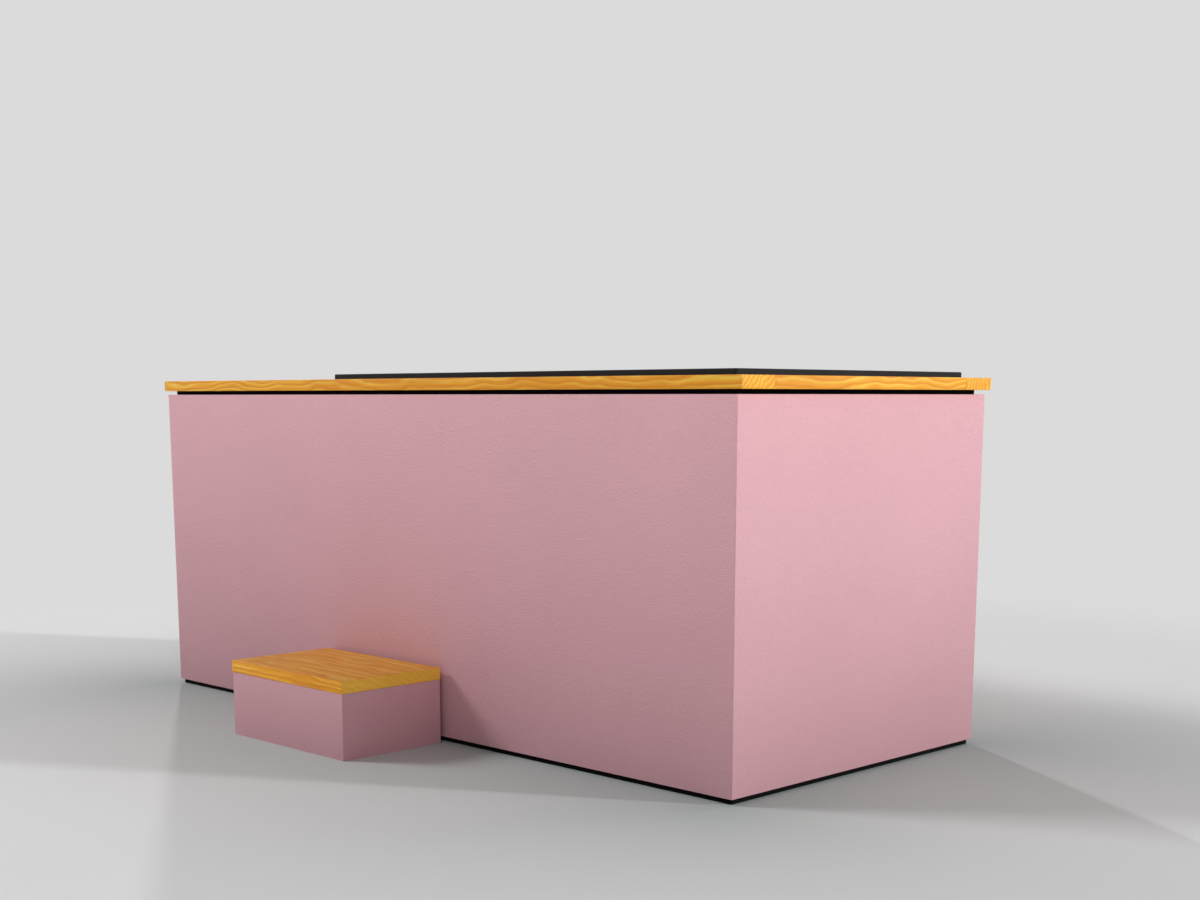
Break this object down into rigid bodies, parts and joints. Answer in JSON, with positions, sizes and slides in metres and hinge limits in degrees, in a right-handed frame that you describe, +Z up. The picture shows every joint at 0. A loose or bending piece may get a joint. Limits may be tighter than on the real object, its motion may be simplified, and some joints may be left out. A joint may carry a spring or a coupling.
{
  "type": "cold plunge tub",
  "caption": "Long painted box tub with an overhanging wooden deck, a lift-off insulated cover over the bath, a hinged service hatch over a chiller bay, and a loose step.",
  "frame": {"origin": "middle of the tub's footprint, on the floor", "axes": "+X along the tub towards the bath's end, +Y to the rear, +Z up; the step stands at -Y"},
  "size_m": [2.021, 1.1543, 0.83],
  "materials": {
    "pink_paint": "satin, fine stipple",
    "oiled_wood": "oiled",
    "black_rubber": "matt",
    "black_plastic": "matt",
    "cover_plastic": "satin, fine grain",
    "grey_plastic": "matt",
    "frame_paint": "satin",
    "bath_acrylic": "gloss",
    "foam": "matt, cellular",
    "stainless": "brushed",
    "white_pipe": "semi-gloss",
    "dark_pipe": "satin",
    "red_lever": "satin",
    "brass_fitting": "turned",
    "pump_paint": "satin",
    "filter_blue": "semi-gloss",
    "filter_paper": "matt",
    "fin_aluminium": "satin fins",
    "compressor_paint": "gloss",
    "key_plastic": "satin"
  },
  "bodies": {
    "tub": {"front_panel": "pink_paint", "rear_panel": "pink_paint", "left_end_panel": "pink_paint", "right_end_panel": "pink_paint", "deck_front_board": "oiled_wood", "deck_rear_board": "oiled_wood", "deck_right_board": "oiled_wood", "deck_middle_board": "oiled_wood", "deck_left_board": "oiled_wood", "neck_strips": "black_rubber", "floor_runners": "black_plastic", "hatch_ledges": "black_plastic", "vent_louvres": "black_plastic", "mains_gland": "black_plastic", "fan_shroud": "black_plastic", "base_panel": "grey_plastic", "bulkhead": "grey_plastic", "base_frame_tubes": "frame_paint", "frame_posts": "frame_paint", "top_rails": "frame_paint", "bath_shell": "bath_acrylic", "insulation_boards": "foam", "deck_screws": "stainless", "hinge_fixed_leaves": "stainless", "steriliser": "stainless", "wall_fittings": "white_pipe", "suction_grille": "white_pipe", "water_pipes": "white_pipe", "pipe_elbows": "white_pipe", "drain_tee": "white_pipe", "drain_valve_body": "dark_pipe", "pump_housing": "dark_pipe", "heat_exchanger": "dark_pipe", "control_box": "dark_pipe", "drain_spigot": "brass_fitting", "pump_motor": "pump_paint", "filter_housing": "filter_blue", "filter_cartridge": "filter_paper", "condenser": "fin_aluminium", "compressor": "compressor_paint", "fan_motor": "compressor_paint"},
    "cover": {"cover_panel": "cover_plastic", "cover_core": "foam", "cover_seal_strips": "black_rubber", "cover_grips": "stainless"},
    "service_hatch": {"hatch_boards": "oiled_wood", "hatch_battens": "oiled_wood", "hatch_finger_ring": "stainless", "hinge_moving_leaves": "stainless"},
    "fan": {"fan_rotor": "dark_pipe"},
    "impeller": {"pump_impeller": "key_plastic"},
    "filter_lid": {"filter_lid": "dark_pipe"},
    "drain_valve": {"drain_valve_ball": "stainless", "drain_valve_lever": "red_lever"},
    "return_nozzle": {"return_nozzle": "dark_pipe"},
    "key_set": {"control_key_set": "key_plastic"},
    "key_mode": {"control_key_mode": "key_plastic"},
    "power_rocker": {"power_rocker": "red_lever"},
    "step": {"step_box": "pink_paint", "step_tread": "oiled_wood"}
  },
  "joints": [
    {"name": "cover_lift", "type": "slide", "parent": "tub", "child": "cover", "axis": [0, 0, 1], "range_m": [0, 0.45]},
    {"name": "hatch_hinge", "type": "hinge", "parent": "tub", "child": "service_hatch", "pos_m": [-0.642, 0.3205, 0.8218], "axis": [-1, 0, 0], "range_deg": [0, 100]},
    {"name": "fan_spin", "type": "hinge", "parent": "tub", "child": "fan", "pos_m": [-0.9, 0.16, 0.24], "axis": [1, 0, 0], "continuous": true},
    {"name": "impeller_spin", "type": "hinge", "parent": "tub", "child": "impeller", "pos_m": [-0.5195, -0.2, 0.19], "axis": [1, 0, 0], "continuous": true},
    {"name": "filter_lid_turn", "type": "hinge", "parent": "tub", "child": "filter_lid", "pos_m": [-0.7865, -0.2, 0.607], "axis": [0, 0, 1], "range_deg": [0, 90]},
    {"name": "drain_valve_turn", "type": "hinge", "parent": "tub", "child": "drain_valve", "pos_m": [-0.4155, 0.3005, 0.19], "axis": [0, 0, 1], "range_deg": [0, 90]},
    {"name": "nozzle_swivel", "type": "hinge", "parent": "tub", "child": "return_nozzle", "pos_m": [-0.2525, 0.2, 0.3], "axis": [0, 0, 1], "range_deg": [-20, 20]},
    {"name": "key_set_press", "type": "slide", "parent": "tub", "child": "key_set", "axis": [0, 0, -1], "range_m": [0, 0.0015], "stiffness_N_per_m": 300, "springref_m": -0.001},
    {"name": "key_mode_press", "type": "slide", "parent": "tub", "child": "key_mode", "axis": [0, 0, -1], "range_m": [0, 0.0015], "stiffness_N_per_m": 300, "springref_m": -0.001},
    {"name": "power_rock", "type": "hinge", "parent": "tub", "child": "power_rocker", "pos_m": [-0.4895, 0.05, 0.732], "axis": [0, 1, 0], "range_deg": [0, 12]},
    {"name": "step_slide", "type": "slide", "parent": "tub", "child": "step", "axis": [0, -1, 0], "range_m": [0, 0.5]}
  ]
}
